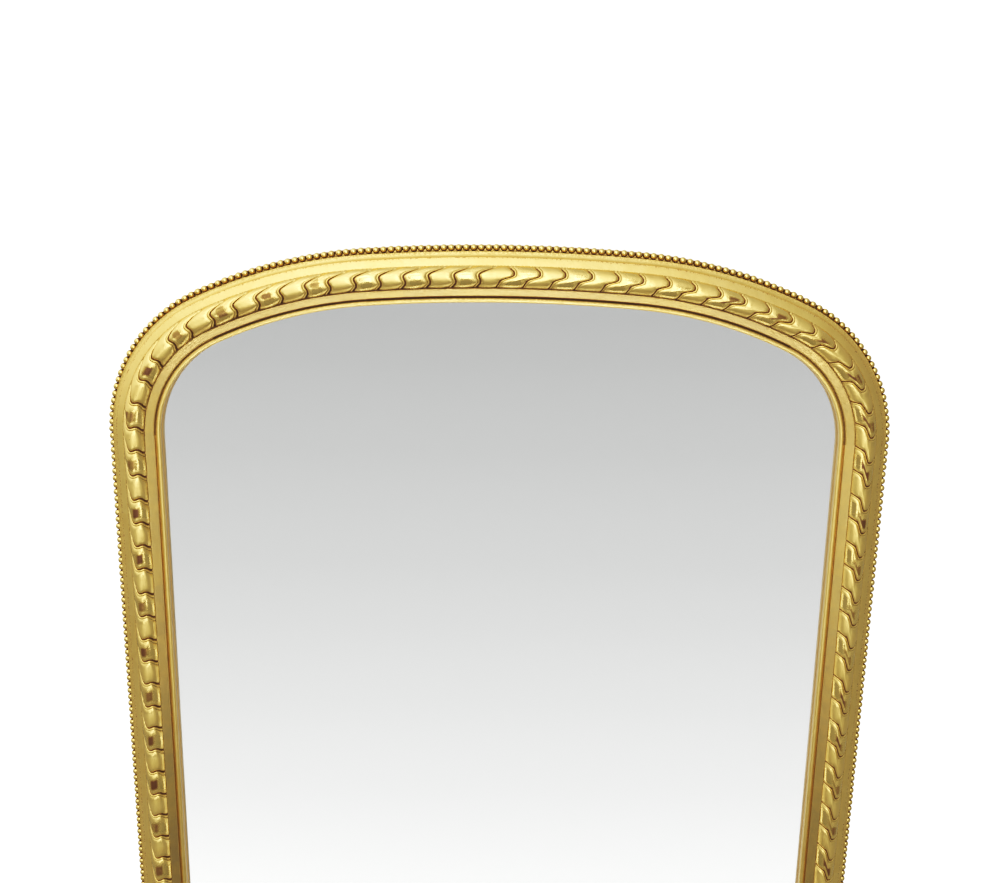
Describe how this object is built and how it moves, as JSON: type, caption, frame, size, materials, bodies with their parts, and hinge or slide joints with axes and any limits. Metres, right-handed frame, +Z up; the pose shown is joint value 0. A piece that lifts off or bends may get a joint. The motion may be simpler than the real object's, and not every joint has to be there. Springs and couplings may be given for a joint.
{
  "type": "arched overmantel mirror",
  "caption": "Arch-topped gilt wall mirror with a beaded edge, a twisted half-round moulding, a plain sight bead, plank backboards and two swinging hanging rings.",
  "frame": {"origin": "middle of the back edge of the underside, where the mirror stands on a shelf against a wall", "axes": "+Z up, front faces -Y, +X to the right as seen from the front"},
  "size_m": [1.2, 0.0636, 1.65],
  "materials": {
    "pine": "planed pine, darkened with age",
    "pine_board": "rough sawn pine",
    "gilt_moulding": "gold leaf over red bole and gesso, matt and burnished",
    "gilt_beads": "gold leaf over moulded composition",
    "glass": "polished clear plate",
    "silver": "silvered, painted on the back",
    "hanger_brass": "dull rolled brass",
    "screw_steel": "turned steel, dull",
    "nail_iron": "dark cut iron"
  },
  "bodies": {
    "frame": {"left_stile": "pine", "left_shoulder": "pine", "left_haunch": "pine", "crown_rail": "pine", "right_haunch": "pine", "right_shoulder": "pine", "right_stile": "pine", "bottom_rail": "pine", "joint_dowels": "pine", "outer_moulding_left_side": "gilt_moulding", "outer_moulding_left_shoulder": "gilt_moulding", "outer_moulding_left_haunch": "gilt_moulding", "outer_moulding_crown": "gilt_moulding", "outer_moulding_right_haunch": "gilt_moulding", "outer_moulding_right_shoulder": "gilt_moulding", "outer_moulding_right_side": "gilt_moulding", "outer_moulding_bottom": "gilt_moulding", "twist_left_side": "gilt_moulding", "twist_left_shoulder": "gilt_moulding", "twist_left_haunch": "gilt_moulding", "twist_crown": "gilt_moulding", "twist_right_haunch": "gilt_moulding", "twist_right_shoulder": "gilt_moulding", "twist_right_side": "gilt_moulding", "twist_bottom": "gilt_moulding", "sight_moulding_left_side": "gilt_moulding", "sight_moulding_left_shoulder": "gilt_moulding", "sight_moulding_left_haunch": "gilt_moulding", "sight_moulding_crown": "gilt_moulding", "sight_moulding_right_haunch": "gilt_moulding", "sight_moulding_right_shoulder": "gilt_moulding", "sight_moulding_right_side": "gilt_moulding", "sight_moulding_bottom": "gilt_moulding", "beads_left_side": "gilt_beads", "beads_left_shoulder": "gilt_beads", "beads_left_haunch": "gilt_beads", "beads_crown": "gilt_beads", "beads_right_haunch": "gilt_beads", "beads_right_shoulder": "gilt_beads", "beads_right_side": "gilt_beads", "beads_bottom": "gilt_beads", "mirror_glass": "glass", "silvering": "silver", "setting_blocks": "pine", "glued_blocks": "pine", "backboard_1": "pine_board", "backboard_2": "pine_board", "backboard_3": "pine_board", "backboard_4": "pine_board", "backboard_5": "pine_board", "backboard_6": "pine_board", "backboard_nails": "nail_iron", "left_hanger_strap": "hanger_brass", "right_hanger_strap": "hanger_brass", "hanger_screws": "screw_steel"},
    "left_ring": {"left_hanging_ring": "hanger_brass"},
    "right_ring": {"right_hanging_ring": "hanger_brass"}
  },
  "joints": [
    {"name": "left_ring_swing", "type": "hinge", "parent": "frame", "child": "left_ring", "pos_m": [-0.56605, 0.00395, 1.23796], "axis": [1, 0, 0], "range_deg": [0, 180]},
    {"name": "right_ring_swing", "type": "hinge", "parent": "frame", "child": "right_ring", "pos_m": [0.56605, 0.00395, 1.23796], "axis": [1, 0, 0], "range_deg": [0, 180]}
  ]
}
